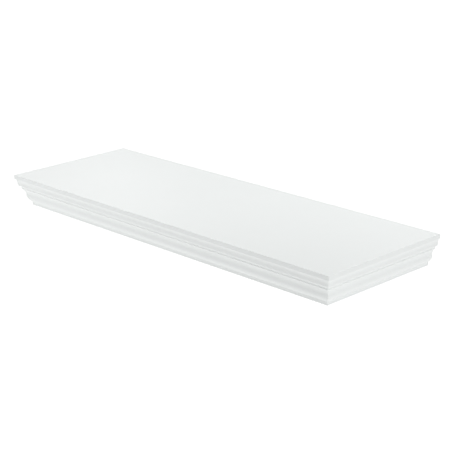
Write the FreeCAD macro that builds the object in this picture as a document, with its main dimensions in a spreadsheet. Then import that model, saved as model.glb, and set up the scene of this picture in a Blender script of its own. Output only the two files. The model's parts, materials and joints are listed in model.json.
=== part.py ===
import FreeCAD, Part
import math
import os
import re

import Sketcher

# A floating wall shelf: a hollow shelf with a crown moulding on its front and ends, which slides
# onto four steel rods welded to a wall plate. Millimetres.
#
# The frame's origin is the middle of the wall plate's rear face, level with the rods. X runs along
# the shelf, Y points into the wall, so the shelf lies at negative Y, and Z is up.

# How many rods there are, and where the ribs and lock screws stand along the shelf.
ROD_COUNT = 4
RIB_STATIONS = ["-outer_rib", "-rod_pitch", "0", "rod_pitch", "outer_rib"]
LOCK_STATIONS = {"left": "-outer_rod", "right": "outer_rod"}

# How far each rail's middle stands from the wall.
RAIL_MIDDLES = {
    "back_rail": "back_rail_inset + back_rail_thickness / 2",
    "mid_rail": "mid_rail_inset + mid_rail_thickness / 2",
}

# Two points closer than this are one point.
CLOSE = 1e-4

# Sizes that can be set by themselves.
SIZES = {
    # outside of the shelf
    "shelf_length": 914,
    "shelf_depth": 305,
    "top_thickness": 9,
    "lip_round": 0.8,
    # section of the crown moulding, from its top down and from the shelf's edge inwards
    "lip_reveal": 1,
    "upper_cove_step": 3.7,
    "upper_cove_height": 10.2,
    "band_height": 2,
    "ovolo_radius": 5.1,
    "quirk_depth": 0.8,
    "quirk_height": 3.4,
    "bead_projection": 0.5,
    "bead_height": 1.2,
    "bead_round": 0.2,
    "undercut_depth": 0.7,
    "undercut_height": 0.5,
    "lower_cove_step": 6.2,
    "lower_cove_height": 13.2,
    "frieze_height": 1.2,
    "belly_step": 7.8,
    "belly_height": 14.2,
    "foot_cove_step": 1,
    "foot_cove_height": 1.6,
    "foot_height": 6.4,
    "foot_round": 0.6,
    "moulding_wall": 12.2,
    # bottom panel and its rebate in the mouldings
    "bottom_thickness": 4,
    "panel_rebate": 6,
    "panel_gap": 0.2,
    "access_clearance": 1,
    # rails, ribs and corner blocks
    "back_rail_thickness": 32,
    "mid_rail_thickness": 18,
    "rib_thickness": 12,
    "lap_clearance": 0.15,
    "corner_leg": 40,
    "corner_height": 20,
    # biscuits across the mitres
    "biscuit_length": 26,
    "biscuit_width": 12,
    "biscuit_thickness": 3,
    "biscuit_clearance": 0.15,
    # dowels from the rails into the end mouldings, and from the back rail into the ribs
    "dowel_diameter": 8,
    "dowel_length": 30,
    "dowel_reach": 12,
    "dowel_spacing": 28,
    "rib_dowel_diameter": 6,
    "rib_dowel_length": 30,
    "dowel_clearance": 0.05,
    "dowel_end_gap": 0.5,
    # wall bracket and the room around it: beside the plate's ends and edges, and before its welds
    "plate_end_gap": 29,
    "plate_edge_gap": 7.5,
    "recess_gap": 2,
    "plate_thickness": 3,
    "plate_corner": 3,
    "stud_spacing": 406.4,
    "screw_row_spacing": 24,
    "screw_hole": 5.5,
    "slot_length": 12,
    "slot_margin": 50,
    # rods: in from the plate's ends, past the mid rail, and short of the front moulding
    "rod_margin": 120,
    "rod_overrun": 15,
    "rod_setback": 44,
    "rod_diameter": 12,
    "rod_chamfer": 1,
    "rod_clearance": 0.25,
    "weld_leg": 3,
    # lock blocks, and the threaded inserts and lock screws up inside them
    "lock_block_width": 40,
    "lock_block_depth": 30,
    "insert_wall": 1.45,
    "insert_length": 12,
    "insert_recess": 3.5,
    "insert_clearance": 0.05,
    "lock_diameter": 6,
    "lock_recess": 5.3,
    "lock_chamfer": 0.6,
    "thread_clearance": 0.05,
    "passage_clearance": 0.3,
    "tip_gap": 0.2,
    "key_width": 3,
    "key_depth": 3.5,
}

# Sizes that follow from those above.
FORMULAS = {
    # insets of the moulding's section from the shelf's edge
    "band_inset": "lip_reveal + upper_cove_step",
    "ovolo_inset": "band_inset + ovolo_radius",
    "quirk_inset": "ovolo_inset + quirk_depth",
    "bead_inset": "quirk_inset - bead_projection",
    "undercut_inset": "bead_inset + undercut_depth",
    "frieze_inset": "undercut_inset + lower_cove_step",
    "belly_inset": "frieze_inset + belly_step",
    "foot_inset": "belly_inset + foot_cove_step",
    "moulding_back": "foot_inset + moulding_wall",
    "panel_inset": "moulding_back - panel_rebate",
    # drops of the moulding's section below its own top
    "band_drop": "upper_cove_height + band_height",
    "ovolo_drop": "band_drop + ovolo_radius",
    "quirk_drop": "ovolo_drop + quirk_height",
    "bead_drop": "quirk_drop + bead_height",
    "undercut_drop": "bead_drop + undercut_height",
    "lower_cove_drop": "undercut_drop + lower_cove_height",
    "frieze_drop": "lower_cove_drop + frieze_height",
    "belly_drop": "frieze_drop + belly_height",
    "foot_cove_drop": "belly_drop + foot_cove_height",
    "moulding_height": "foot_cove_drop + foot_height",
    # each cove ends upright, and so meets the band, frieze or foot below it without a corner, and
    # the belly starts upright
    "upper_cove_radius": "(upper_cove_step ^ 2 + upper_cove_height ^ 2) / (2 * upper_cove_step)",
    "lower_cove_radius": "(lower_cove_step ^ 2 + lower_cove_height ^ 2) / (2 * lower_cove_step)",
    "belly_radius": "(belly_step ^ 2 + belly_height ^ 2) / (2 * belly_step)",
    "foot_cove_radius": "(foot_cove_step ^ 2 + foot_cove_height ^ 2) / (2 * foot_cove_step)",
    # room inside the mouldings
    "cavity_height": "moulding_height - bottom_thickness",
    "half_cavity": "cavity_height / 2",
    "inner_half": "shelf_length / 2 - moulding_back",
    "inner_front": "shelf_depth - moulding_back",
    "back_rail_inset": "plate_thickness + weld_leg + recess_gap",
    "mid_rail_inset": "inner_front - rod_setback - rod_overrun - mid_rail_thickness",
    "rib_start": "back_rail_inset + back_rail_thickness",
    "rib_length": "inner_front - rib_start",
    # the bracket, and stations along the shelf: an outer rib stands midway between rod and end
    "plate_length": "2 * (inner_half - plate_end_gap)",
    "plate_height": "cavity_height - 2 * plate_edge_gap",
    "slot_station": "plate_length / 2 - slot_margin",
    "rod_length": "inner_front - rod_setback - plate_thickness",
    "outer_rod": "plate_length / 2 - rod_margin",
    "rod_pitch": f"2 * outer_rod / {ROD_COUNT - 1}",
    "outer_rib": "(outer_rod + inner_half) / 2",
    # biscuits lie behind the moulding's band
    "biscuit_inset": "(band_inset + moulding_back) / 2",
    "biscuit_drop": "upper_cove_height + band_height / 2",
    # fits
    "bore_diameter": "rod_diameter + 2 * rod_clearance",
    "lap_width": "rib_thickness + 2 * lap_clearance",
    "dowel_hole": "dowel_diameter + 2 * dowel_clearance",
    "rib_dowel_hole": "rib_dowel_diameter + 2 * dowel_clearance",
    "rail_socket": "dowel_length - dowel_reach + dowel_end_gap",
    "moulding_socket": "dowel_reach + dowel_end_gap",
    "rib_socket": "rib_dowel_length / 2 + dowel_end_gap",
    "insert_bore": "lock_diameter + 2 * thread_clearance",
    "insert_diameter": "insert_bore + 2 * insert_wall",
    "insert_hole": "insert_diameter + 2 * insert_clearance",
    "passage_diameter": "lock_diameter + 2 * passage_clearance",
    "access_hole": "lock_diameter + 2 * access_clearance",
    "lock_line": "rib_start + lock_block_depth / 2",
    "lock_foot": "lock_recess - half_cavity",
    "lock_length": "-lock_foot - rod_diameter / 2 - tip_gap",
}

doc = FreeCAD.newDocument("floating_wall_shelf")
sheet = doc.addObject("Spreadsheet::Sheet", "Sizes")
parts = []


# ---------------------------------------------------------------- sizes and formulas


def fill_sheet():
    """Write each size and formula to a row of its own, with its name as the cell's alias."""
    rows = [(name, str(number)) for name, number in SIZES.items()]
    rows += [(name, "=" + formula) for name, formula in FORMULAS.items()]
    for row, (name, content) in enumerate(rows, start=1):
        sheet.set(f"A{row}", name)
        sheet.set(f"B{row}", content)
        sheet.setAlias(f"B{row}", name)
    doc.recompute()


def value(formula):
    """The present value of a formula of size names."""
    return float(sheet.evalExpression(formula))


def bind(item, target, formula):
    """Tie a property or constraint to a formula of size names, which all hold an underscore."""
    item.setExpression(target, re.sub(r"[a-z]+(_[a-z]+)+", r"Sizes.\g<0>", formula))


# ---------------------------------------------------------------- bodies and sketches


def new_body(name, x="0", y="0", z="0", turn=0):
    """A sub-part at a place given by formulas, turned about Z by an angle in degrees."""
    body = doc.addObject("PartDesign::Body", name)
    body.Label = name
    body.Placement = FreeCAD.Placement(
        FreeCAD.Vector(value(x), value(y), value(z)),
        FreeCAD.Rotation(FreeCAD.Vector(0, 0, 1), turn),
    )
    for axis, formula in zip("xyz", (x, y, z)):
        bind(body, f"Placement.Base.{axis}", formula)
    parts.append(body)
    return body


def origin_part(body, role):
    """One of the planes or axes of the body's own origin."""
    return next(item for item in body.Origin.OriginFeatures if item.Role == role)


def new_sketch(body, plane, across="0", up="0", lift="0", turn=0):
    """A sketch on one of the body's planes, moved in the plane and lifted along its normal.

    The normals are +Z for XY_Plane, -Y for XZ_Plane and +X for YZ_Plane.
    """
    sketch = body.newObject("Sketcher::SketchObject", body.Name + "_sketch")
    sketch.AttachmentSupport = [(origin_part(body, plane), "")]
    sketch.MapMode = "FlatFace"
    sketch.AttachmentOffset = FreeCAD.Placement(
        FreeCAD.Vector(value(across), value(up), value(lift)),
        FreeCAD.Rotation(FreeCAD.Vector(0, 0, 1), turn),
    )
    for axis, formula in zip("xyz", (across, up, lift)):
        bind(sketch, f"AttachmentOffset.Base.{axis}", formula)
    return sketch


def constrain(sketch, formula, kind, *where):
    """Add a constraint of a size and tie it to its formula."""
    number = sketch.addConstraint(Sketcher.Constraint(kind, *where, value(formula)))
    name = f"size_{number}"
    sketch.renameConstraint(number, name)
    bind(sketch, f"Constraints.{name}", formula)


def constrain_point(sketch, edge, end, point):
    """Hold an end of an edge, or its centre, at the place that two formulas give."""
    constrain(sketch, point[0], "DistanceX", -1, 1, edge, end)
    constrain(sketch, point[1], "DistanceY", -1, 1, edge, end)


def arc_between(start, finish, radius, side):
    """The short arc from start to finish; side is 1 when its centre lies to the left, else -1."""
    chord = finish - start
    height = math.sqrt(max(0, radius**2 - (chord.Length / 2) ** 2))
    left = FreeCAD.Vector(-chord.y, chord.x, 0).normalize()
    centre = (start + finish) / 2 + left * height * side
    circle = Part.Circle(centre, FreeCAD.Vector(0, 0, 1), radius)
    first, last = (start, finish) if side > 0 else (finish, start)
    angles = [math.atan2(point.y - centre.y, point.x - centre.x) for point in (first, last)]
    if angles[1] < angles[0]:
        angles[1] += 2 * math.pi
    return Part.ArcOfCircle(circle, *angles)


def draw_outline(sketch, corners, arcs=None):
    """A closed outline through corners given as pairs of formulas.

    Every side is straight but those in arcs, which maps a side's number, counted from the corner
    that it leaves, to its radius and its centre's side: 1 for left, -1 for right. A half circle,
    of radius None, is held by its centre, level with the corner that it leaves.
    """
    arcs = arcs or {}
    places = [FreeCAD.Vector(value(across), value(up), 0) for across, up in corners]
    ends = []
    for side, corner in enumerate(corners):
        start, finish = places[side], places[(side + 1) % len(corners)]
        if side not in arcs:
            edge = sketch.addGeometry(Part.LineSegment(start, finish))
            leaves, arrives = 1, 2
        else:
            radius, turn = arcs[side]
            size = value(radius) if radius else (finish - start).Length / 2
            edge = sketch.addGeometry(arc_between(start, finish, size, turn))
            leaves, arrives = (1, 2) if turn > 0 else (2, 1)
        constrain_point(sketch, edge, leaves, corner)
        ends.append((edge, leaves, arrives))
    for side, (edge, leaves, arrives) in enumerate(ends):
        following, its_start, _ = ends[(side + 1) % len(ends)]
        sketch.addConstraint(Sketcher.Constraint("Coincident", edge, arrives, following, its_start))
        if side in arcs and arcs[side][0]:
            constrain(sketch, arcs[side][0], "Radius", edge)
        elif side in arcs:
            constrain(sketch, corners[side][0], "DistanceX", -1, 1, edge, 3)


def draw_rectangle(sketch, left, right, low, high):
    """A rectangle between four formulas."""
    draw_outline(sketch, [(left, low), (right, low), (right, high), (left, high)])


def draw_circles(sketch, centres, diameter):
    """Equal circles, their centres given as pairs of formulas."""
    for across, up in centres:
        place = FreeCAD.Vector(value(across), value(up), 0)
        normal = FreeCAD.Vector(0, 0, 1)
        edge = sketch.addGeometry(Part.Circle(place, normal, value(diameter) / 2))
        constrain_point(sketch, edge, 3, (across, up))
        constrain(sketch, diameter, "Diameter", edge)


def draw_slot(sketch, across, length, width):
    """A slot with round ends along the sketch's first axis, its middle at a formula."""
    left = f"{across} - ({length} - {width}) / 2"
    right = f"{across} + ({length} - {width}) / 2"
    low, high = f"-{width} / 2", f"{width} / 2"
    corners = [(left, low), (right, low), (right, high), (left, high)]
    draw_outline(sketch, corners, {1: (None, 1), 3: (None, 1)})


def draw_lens(sketch, length, width):
    """Two equal arcs that meet in points: the outline of a biscuit, long along the first axis."""
    radius = f"({length} ^ 2 + {width} ^ 2) / (4 * {width})"
    corners = [(f"-{length} / 2", "0"), (f"{length} / 2", "0")]
    draw_outline(sketch, corners, {0: (radius, 1), 1: (radius, 1)})


# ---------------------------------------------------------------- features


def pad(body, sketch, length, symmetric=False, back=False):
    """Extrude a sketch along its normal, both ways, or backwards."""
    feature = body.newObject("PartDesign::Pad", body.Name + "_pad")
    feature.Profile = sketch
    feature.SideType = "Symmetric" if symmetric else "One side"
    feature.Reversed = back
    bind(feature, "Length", length)
    doc.recompute()
    return feature


def pocket(body, sketch, depth=None, symmetric=False, along=False):
    """Cut a sketch through everything or to a depth, against its normal or along it."""
    before = body.Shape.Volume
    feature = body.newObject("PartDesign::Pocket", body.Name + "_pocket")
    feature.Profile = sketch
    feature.SideType = "Symmetric" if symmetric else "One side"
    feature.Reversed = along
    if depth:
        bind(feature, "Length", depth)
    else:
        feature.Type = "ThroughAll"
    doc.recompute()
    if body.Shape.Volume >= before:
        raise RuntimeError(f"{feature.Name} cuts nothing")
    return feature


def repeat(body, feature, axis, spacing, count):
    """Repeat a feature along one of the body's axes."""
    pattern = body.newObject("PartDesign::LinearPattern", body.Name + "_pattern")
    pattern.Originals = [feature]
    pattern.Direction = (origin_part(body, axis), [""])
    pattern.Mode = "Spacing"
    bind(pattern, "Offset", spacing)
    pattern.Occurrences = count
    body.Tip = pattern
    doc.recompute()


def mirror(body, features, plane):
    """Repeat features on the other side of one of the body's planes."""
    copy = body.newObject("PartDesign::Mirrored", body.Name + "_mirrored")
    copy.Originals = features
    copy.MirrorPlane = (origin_part(body, plane), [""])
    body.Tip = copy
    doc.recompute()


def dress(body, kind, size, chosen):
    """Round ("Fillet") or bevel ("Chamfer") the edges that the test chooses."""
    base = body.Tip
    names = [f"Edge{n}" for n, edge in enumerate(base.Shape.Edges, start=1) if chosen(edge)]
    if not names:
        raise RuntimeError(f"{body.Name} has no edge to {kind.lower()}")
    feature = body.newObject("PartDesign::" + kind, f"{body.Name}_{kind.lower()}")
    feature.Base = (base, names)
    bind(feature, "Radius" if kind == "Fillet" else "Size", size)
    doc.recompute()


def near(number, formula):
    """Whether a coordinate lies at the place that a formula gives."""
    return abs(number - value(formula)) < CLOSE


# ---------------------------------------------------------------- outside of the shelf


def build_top_panel():
    """The board that things stand on: its edge is the thin lip above the moulding."""
    body = new_body("top_panel", z="half_cavity")
    sketch = new_sketch(body, "XY_Plane")
    draw_rectangle(sketch, "-shelf_length / 2", "shelf_length / 2", "-shelf_depth", "0")
    pad(body, sketch, "top_thickness")

    def faces_room(edge):
        box = edge.BoundBox
        ends = near(abs(box.XMin), "shelf_length / 2") and box.XLength < CLOSE
        front = near(box.YMin, "-shelf_depth") and box.YLength < CLOSE
        wall_corner = near(box.YMin, "0")
        return (ends or front) and not wall_corner

    dress(body, "Fillet", "lip_round", faces_room)


def build_bottom_panel():
    """The thin panel that closes the shelf, let into the mouldings' rebate."""
    body = new_body("bottom_panel", z="-half_cavity - bottom_thickness")
    sketch = new_sketch(body, "XY_Plane")
    side = "shelf_length / 2 - panel_inset - panel_gap"
    front = "-(shelf_depth - panel_inset - panel_gap)"
    draw_rectangle(sketch, f"-({side})", side, front, "0")
    pad(body, sketch, "bottom_thickness")
    holes = new_sketch(body, "XY_Plane")
    centres = [(station, "-lock_line") for station in LOCK_STATIONS.values()]
    draw_circles(holes, centres, "access_hole")
    pocket(body, holes, along=True)


def moulding_section(sketch):
    """The crown's section: inset from the shelf's edge across, drop below the top panel down."""
    corners = [
        ("lip_reveal", "0"),
        ("band_inset", "-upper_cove_height"),
        ("band_inset", "-band_drop"),
        ("ovolo_inset", "-ovolo_drop"),
        ("quirk_inset", "-ovolo_drop"),
        ("quirk_inset", "-quirk_drop"),
        ("bead_inset", "-quirk_drop"),
        ("bead_inset", "-bead_drop"),
        ("undercut_inset", "-bead_drop"),
        ("undercut_inset", "-undercut_drop"),
        ("frieze_inset", "-lower_cove_drop"),
        ("frieze_inset", "-frieze_drop"),
        ("belly_inset", "-belly_drop"),
        ("foot_inset", "-foot_cove_drop"),
        ("foot_inset", "-moulding_height"),
        ("panel_inset", "-moulding_height"),
        ("panel_inset", "-cavity_height"),
        ("moulding_back", "-cavity_height"),
        ("moulding_back", "0"),
    ]
    arcs = {
        0: ("upper_cove_radius", -1),
        2: ("ovolo_radius", 1),
        9: ("lower_cove_radius", -1),
        11: ("belly_radius", 1),
        12: ("foot_cove_radius", -1),
    }
    draw_outline(sketch, corners, arcs)


def build_moulding(name, length, x, y, turn, mitres):
    """One length of crown moulding, along its own X, with its inner side towards its own Y.

    mitres names the ends that are cut at 45 degrees: "start", "end" or both.
    """
    body = new_body(name, x, y, "half_cavity", turn)
    section = new_sketch(body, "YZ_Plane")
    moulding_section(section)
    pad(body, section, length)

    def bead_arris(edge):
        box = edge.BoundBox
        level = near(box.ZMin, "-quirk_drop") or near(box.ZMin, "-bead_drop")
        return near(box.XLength, length) and near(box.YMin, "bead_inset") and level

    def foot_arris(edge):
        box = edge.BoundBox
        level = near(box.ZMin, "-moulding_height")
        return near(box.XLength, length) and near(box.YMin, "foot_inset") and level

    dress(body, "Fillet", "bead_round", bead_arris)
    dress(body, "Fillet", "foot_round", foot_arris)

    for end in mitres:
        corner, inwards, angle = ("0", "+", 45) if end == "start" else (length, "-", 135)
        outwards = "-" if inwards == "+" else "+"
        cut = new_sketch(body, "XY_Plane")
        waste = [
            (corner, "0"),
            (f"{corner} {outwards} moulding_back", "0"),
            (f"{corner} {outwards} moulding_back", "2 * moulding_back"),
            (f"{corner} {inwards} 2 * moulding_back", "2 * moulding_back"),
        ]
        draw_outline(cut, waste)
        pocket(body, cut, symmetric=True)
        slot = new_sketch(
            body,
            "XY_Plane",
            f"{corner} {inwards} biscuit_inset",
            "biscuit_inset",
            "-biscuit_drop",
            angle,
        )
        clearance = "2 * biscuit_clearance"
        draw_lens(slot, f"(biscuit_length + {clearance})", f"(biscuit_width + {clearance})")
        pocket(body, slot, f"biscuit_thickness + {clearance}", symmetric=True)
    return body


def cut_dowel_sockets(body, station, rail_middle, sign):
    """Sockets in an end moulding's inner side for a rail's two dowels."""
    sockets = new_sketch(body, "XZ_Plane", lift="-moulding_back")
    across = f"{station} {sign} ({rail_middle})"
    levels = ("dowel_spacing / 2 - half_cavity", "-dowel_spacing / 2 - half_cavity")
    draw_circles(sockets, [(across, level) for level in levels], "dowel_hole")
    pocket(body, sockets, "moulding_socket", along=True)


def build_mouldings():
    """The front moulding, mitred at both ends, and the end mouldings, square at the wall."""
    half = "shelf_length / 2"
    build_moulding(
        "front_moulding", "shelf_length", f"-{half}", "-shelf_depth", 0, ["start", "end"]
    )
    left = build_moulding("left_moulding", "shelf_depth", f"-{half}", "0", -90, ["end"])
    right = build_moulding("right_moulding", "shelf_depth", half, "-shelf_depth", 90, ["start"])
    for rail_middle in RAIL_MIDDLES.values():
        cut_dowel_sockets(left, "0", rail_middle, "+")
        cut_dowel_sockets(right, "shelf_depth", rail_middle, "-")


# ---------------------------------------------------------------- rails, ribs and joints


def build_rail(name):
    """A rail between the end mouldings, bored for the rods and for its end dowels."""
    body = new_body(name, y=f"-{name}_inset")
    board = new_sketch(body, "XZ_Plane")
    draw_rectangle(board, "-inner_half", "inner_half", "-half_cavity", "half_cavity")
    pad(body, board, f"{name}_thickness")
    bore = new_sketch(body, "XZ_Plane")
    draw_circles(bore, [("-outer_rod", "0")], "bore_diameter")
    first_bore = pocket(body, bore, along=True)
    repeat(body, first_bore, "X_Axis", "rod_pitch", ROD_COUNT)
    ends = new_sketch(body, "YZ_Plane", lift="inner_half")
    levels = ("dowel_spacing / 2", "-dowel_spacing / 2")
    draw_circles(ends, [(f"-{name}_thickness / 2", level) for level in levels], "dowel_hole")
    sockets = pocket(body, ends, "rail_socket")
    mirror(body, [sockets], "YZ_Plane")
    return body


def build_back_rail():
    """The back rail also takes the ribs' dowels."""
    body = build_rail("back_rail")
    sockets = new_sketch(body, "XZ_Plane", lift="back_rail_thickness")
    draw_circles(sockets, [(station, "0") for station in RIB_STATIONS], "rib_dowel_hole")
    pocket(body, sockets, "rib_socket")


def build_mid_rail():
    """The mid rail is notched from above where the ribs cross it."""
    body = build_rail("mid_rail")
    notches = new_sketch(body, "XZ_Plane")
    for station in RIB_STATIONS:
        left, right = f"{station} - lap_width / 2", f"{station} + lap_width / 2"
        draw_rectangle(notches, left, right, "0", "half_cavity")
    pocket(body, notches, along=True)


def build_ribs():
    """Cross ribs from the back rail to the front moulding, notched from below at the mid rail."""
    for number, station in enumerate(RIB_STATIONS, start=1):
        body = new_body(f"rib_{number}", station, "-rib_start")
        side = new_sketch(body, "YZ_Plane")
        draw_rectangle(side, "-rib_length", "0", "-half_cavity", "half_cavity")
        pad(body, side, "rib_thickness", symmetric=True)
        notch = new_sketch(body, "YZ_Plane")
        rear = "rib_start - mid_rail_inset + lap_clearance"
        front = "rib_start - mid_rail_inset - mid_rail_thickness - lap_clearance"
        draw_rectangle(notch, front, rear, "-half_cavity", "0")
        pocket(body, notch, symmetric=True)
        socket = new_sketch(body, "XZ_Plane")
        draw_circles(socket, [("0", "0")], "rib_dowel_hole")
        pocket(body, socket, "rib_socket", along=True)


def build_corner_blocks():
    """Three-cornered glue blocks under the top panel, inside the mitres."""
    for name, x, turn in (
        ("corner_block_left", "-inner_half", 0),
        ("corner_block_right", "inner_half", 90),
    ):
        body = new_body(name, x, "-inner_front", "half_cavity - corner_height", turn)
        sketch = new_sketch(body, "XY_Plane")
        draw_outline(sketch, [("0", "0"), ("corner_leg", "0"), ("0", "corner_leg")])
        pad(body, sketch, "corner_height")


def build_mitre_biscuits():
    """One biscuit across each mitre, under the moulding's upper cove."""
    station = "shelf_length / 2 - biscuit_inset"
    for name, x, turn in (
        ("mitre_biscuit_left", f"-({station})", 45),
        ("mitre_biscuit_right", station, 135),
    ):
        y = "biscuit_inset - shelf_depth"
        body = new_body(name, x, y, "half_cavity - biscuit_drop", turn)
        sketch = new_sketch(body, "XY_Plane")
        draw_lens(sketch, "biscuit_length", "biscuit_width")
        pad(body, sketch, "biscuit_thickness", symmetric=True)


def build_dowels():
    """Two dowels at each end of each rail, and one from the back rail into each rib."""
    for rail, middle in RAIL_MIDDLES.items():
        body = new_body(rail + "_dowels", y=f"-({middle})")
        sketch = new_sketch(body, "YZ_Plane", lift="inner_half + dowel_reach")
        levels = ("dowel_spacing / 2", "-dowel_spacing / 2")
        draw_circles(sketch, [("0", level) for level in levels], "dowel_diameter")
        pair = pad(body, sketch, "dowel_length", back=True)
        mirror(body, [pair], "YZ_Plane")
    body = new_body("rib_dowels", y="-rib_start")
    sketch = new_sketch(body, "XZ_Plane")
    draw_circles(sketch, [(station, "0") for station in RIB_STATIONS], "rib_dowel_diameter")
    pad(body, sketch, "rib_dowel_length", symmetric=True)


# ---------------------------------------------------------------- wall bracket


def build_bracket_plate():
    """The wall plate: four screw holes at stud spacing and a slot near each end."""
    body = new_body("bracket_plate")
    face = new_sketch(body, "XZ_Plane")
    half_length, half_height = "plate_length / 2", "plate_height / 2"
    draw_rectangle(face, f"-{half_length}", half_length, f"-{half_height}", half_height)
    pad(body, face, "plate_thickness")

    def plate_corner(edge):
        box = edge.BoundBox
        return near(box.YLength, "plate_thickness")

    dress(body, "Fillet", "plate_corner", plate_corner)
    holes = new_sketch(body, "XZ_Plane")
    stations = ("-stud_spacing / 2", "stud_spacing / 2")
    rows = ("-screw_row_spacing / 2", "screw_row_spacing / 2")
    draw_circles(holes, [(x, z) for x in stations for z in rows], "screw_hole")
    pocket(body, holes, along=True)
    slots = new_sketch(body, "XZ_Plane")
    for station in ("-slot_station", "slot_station"):
        draw_slot(slots, station, "slot_length", "screw_hole")
    pocket(body, slots, along=True)


def build_support_rods():
    """Round rods that stand out from the plate, with bevelled tips that find the bores."""
    for number in range(ROD_COUNT):
        station = f"{number} * rod_pitch - outer_rod"
        body = new_body(f"support_rod_{number + 1}", station, "-plate_thickness")
        sketch = new_sketch(body, "XZ_Plane")
        draw_circles(sketch, [("0", "0")], "rod_diameter")
        pad(body, sketch, "rod_length")

        def tip(edge):
            box = edge.BoundBox
            return near(box.YMin, "-rod_length") and box.YLength < CLOSE

        dress(body, "Chamfer", "rod_chamfer", tip)


def build_rod_welds():
    """A fillet weld around the foot of each rod."""
    body = new_body("rod_welds", y="-plate_thickness")
    sketch = new_sketch(body, "XY_Plane", across="-outer_rod")
    inner, outer = "rod_diameter / 2", "rod_diameter / 2 + weld_leg"
    draw_outline(sketch, [(inner, "0"), (inner, "-weld_leg"), (outer, "0")])
    ring = body.newObject("PartDesign::Revolution", "rod_welds_ring")
    ring.Profile = sketch
    ring.ReferenceAxis = (sketch, ["V_Axis"])
    doc.recompute()
    repeat(body, ring, "X_Axis", "rod_pitch", ROD_COUNT)


# ---------------------------------------------------------------- lock screws


def build_lock_block(side, station):
    """A block on the back rail's front, bored for the outer rod and, from below, for the screw."""
    body = new_body("lock_block_" + side, station, "-rib_start")
    board = new_sketch(body, "XZ_Plane")
    half_width = "lock_block_width / 2"
    draw_rectangle(board, f"-{half_width}", half_width, "-half_cavity", "half_cavity")
    pad(body, board, "lock_block_depth")
    bore = new_sketch(body, "XZ_Plane")
    draw_circles(bore, [("0", "0")], "bore_diameter")
    pocket(body, bore, along=True)
    for diameter, depth in (
        ("insert_hole", "insert_recess + insert_length"),
        ("passage_diameter", "half_cavity"),
    ):
        hole = new_sketch(body, "XY_Plane", lift="-half_cavity")
        draw_circles(hole, [("0", "-lock_block_depth / 2")], diameter)
        pocket(body, hole, depth, along=True)


def build_lock_insert(side, station):
    """A brass bush that holds the screw's thread."""
    body = new_body("lock_insert_" + side, station, "-lock_line", "insert_recess - half_cavity")
    ring = new_sketch(body, "XY_Plane")
    draw_circles(ring, [("0", "0")], "insert_diameter")
    draw_circles(ring, [("0", "0")], "insert_bore")
    pad(body, ring, "insert_length")


def build_lock_screw(side, station):
    """A grub screw that presses on the rod above it, with a hexagon socket in its foot."""
    body = new_body("lock_screw_" + side, station, "-lock_line", "lock_foot")
    shank = new_sketch(body, "XY_Plane")
    draw_circles(shank, [("0", "0")], "lock_diameter")
    pad(body, shank, "lock_length")
    dress(body, "Chamfer", "lock_chamfer", lambda edge: edge.BoundBox.ZLength < CLOSE)
    key = new_sketch(body, "XY_Plane")
    turns = [f"{60 * corner} deg" for corner in range(6)]
    reach = "key_width / sqrt(3)"
    draw_outline(key, [(f"{reach} * cos({turn})", f"{reach} * sin({turn})") for turn in turns])
    pocket(body, key, "key_depth", along=True)


def build_locks():
    """Under each outer rod: a block, the threaded insert in it and the screw in that."""
    for side, station in LOCK_STATIONS.items():
        build_lock_block(side, station)
        build_lock_insert(side, station)
        build_lock_screw(side, station)


# ---------------------------------------------------------------- build, check and write


def check_document():
    """Stop where an object failed or a sub-part has no sound shape."""
    doc.recompute()
    for item in doc.Objects:
        if "Invalid" in item.State or "Error" in item.State:
            raise RuntimeError(f"{item.Name} failed: {item.State}")
    for body in parts:
        if body.Shape.isNull() or not body.Shape.isValid():
            raise RuntimeError(f"{body.Label} has no sound shape")


def write_parts():
    """Write each sub-part to a file of its own."""
    os.makedirs("parts", exist_ok=True)
    for body in parts:
        body.Shape.exportStep(f"parts/{body.Label}.step")
        box = body.Shape.BoundBox
        print(
            f"{body.Label:20} {len(body.Shape.Solids)} solid(s) {body.Shape.Volume:12.1f} mm3  "
            f"x {box.XMin:8.2f} {box.XMax:8.2f}  y {box.YMin:8.2f} {box.YMax:8.2f}  "
            f"z {box.ZMin:7.2f} {box.ZMax:7.2f}"
        )


fill_sheet()
build_top_panel()
build_bottom_panel()
build_mouldings()
build_back_rail()
build_mid_rail()
build_ribs()
build_corner_blocks()
build_mitre_biscuits()
build_dowels()
build_bracket_plate()
build_support_rods()
build_rod_welds()
build_locks()
check_document()
write_parts()
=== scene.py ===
# %% [markdown]
# # A floating wall shelf
#
# The real thing is a hollow shelf with a crown moulding round its front and ends. It slides onto
# four steel rods that are welded to a plate on the wall, and two small screws lock it there.
#
# The shelf's construction is already worked out as solids, and they load here as a fixed frame, in
# metres. X runs along the shelf, Y points into the wall and Z is up. This script gives every solid
# its finish, and builds anew the few pieces whose real surface is richer than a plain solid.

import json
import math

import bmesh
import bpy
from mathutils import Matrix, Vector

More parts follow.
